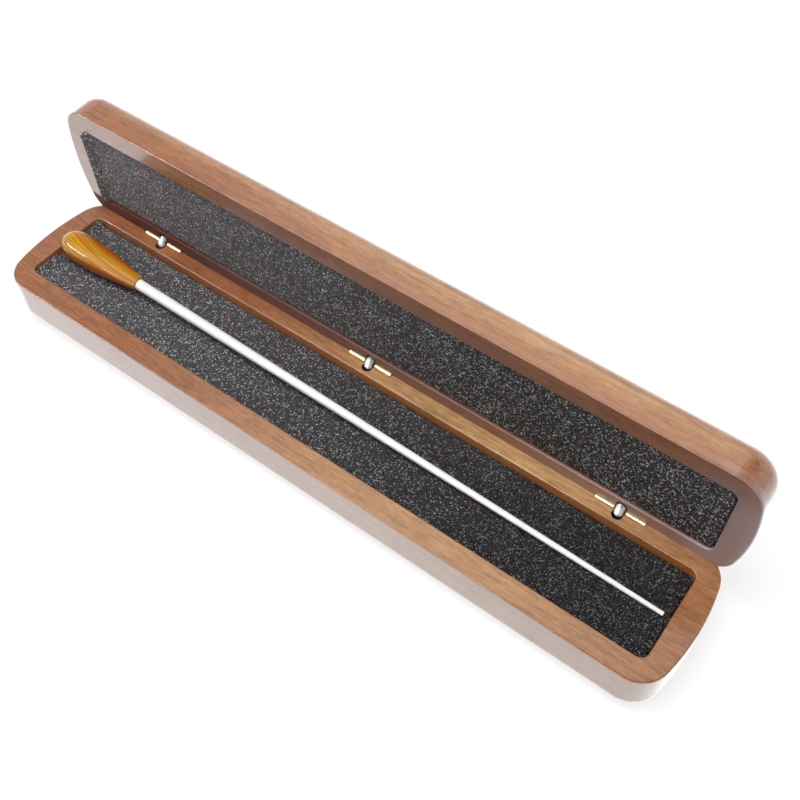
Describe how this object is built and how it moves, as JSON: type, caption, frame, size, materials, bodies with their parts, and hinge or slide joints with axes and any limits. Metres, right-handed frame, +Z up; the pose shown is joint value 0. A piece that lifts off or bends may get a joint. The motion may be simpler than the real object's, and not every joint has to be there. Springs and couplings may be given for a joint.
{
  "type": "baton case",
  "caption": "Long hinged wooden case with foam liners, standing open with its lid almost upright, and a conducting baton lying on the foam.",
  "frame": {"origin": "centre of the flat bottom of the base, midway along its length and width", "axes": "+X along the case from the baton's handle to its tip, +Y towards the hinges, +Z up"},
  "size_m": [0.3846, 0.0867, 0.0962],
  "materials": {
    "stained_wood": "reddish-brown stain under satin lacquer",
    "foam": "charcoal open-cell foam",
    "brass": "polished",
    "steel": "bright spring steel",
    "handle_wood": "striped golden-orange hardwood under gloss lacquer",
    "white_shaft": "white gloss lacquer"
  },
  "bodies": {
    "base": {"base_shell": "stained_wood", "base_foam": "foam", "left_hinge_base_leaf": "brass", "left_hinge_pin_a": "steel", "left_hinge_pin_b": "steel", "left_hinge_spring": "steel", "left_hinge_base_anchor": "steel", "middle_hinge_base_leaf": "brass", "middle_hinge_pin_a": "steel", "middle_hinge_pin_b": "steel", "middle_hinge_spring": "steel", "middle_hinge_base_anchor": "steel", "right_hinge_base_leaf": "brass", "right_hinge_pin_a": "steel", "right_hinge_pin_b": "steel", "right_hinge_spring": "steel", "right_hinge_base_anchor": "steel"},
    "lid": {"lid_shell": "stained_wood", "lid_foam": "foam", "left_hinge_lid_leaf": "brass", "left_hinge_lid_anchor": "steel", "middle_hinge_lid_leaf": "brass", "middle_hinge_lid_anchor": "steel", "right_hinge_lid_leaf": "brass", "right_hinge_lid_anchor": "steel"},
    "baton": {"baton_handle": "handle_wood", "baton_shaft": "white_shaft"}
  },
  "joints": [
    {"name": "lid_hinge", "type": "hinge", "parent": "base", "child": "lid", "pos_m": [0, 0.0314, 0.02905], "axis": [1, 0, 0], "range_deg": [0, 88], "deforming": ["lid_foam", "left_hinge_spring", "middle_hinge_spring", "right_hinge_spring"]},
    {"name": "baton_lift", "type": "slide", "parent": "base", "child": "baton", "axis": [0, 0, 1], "range_m": [0, 0.06]}
  ]
}
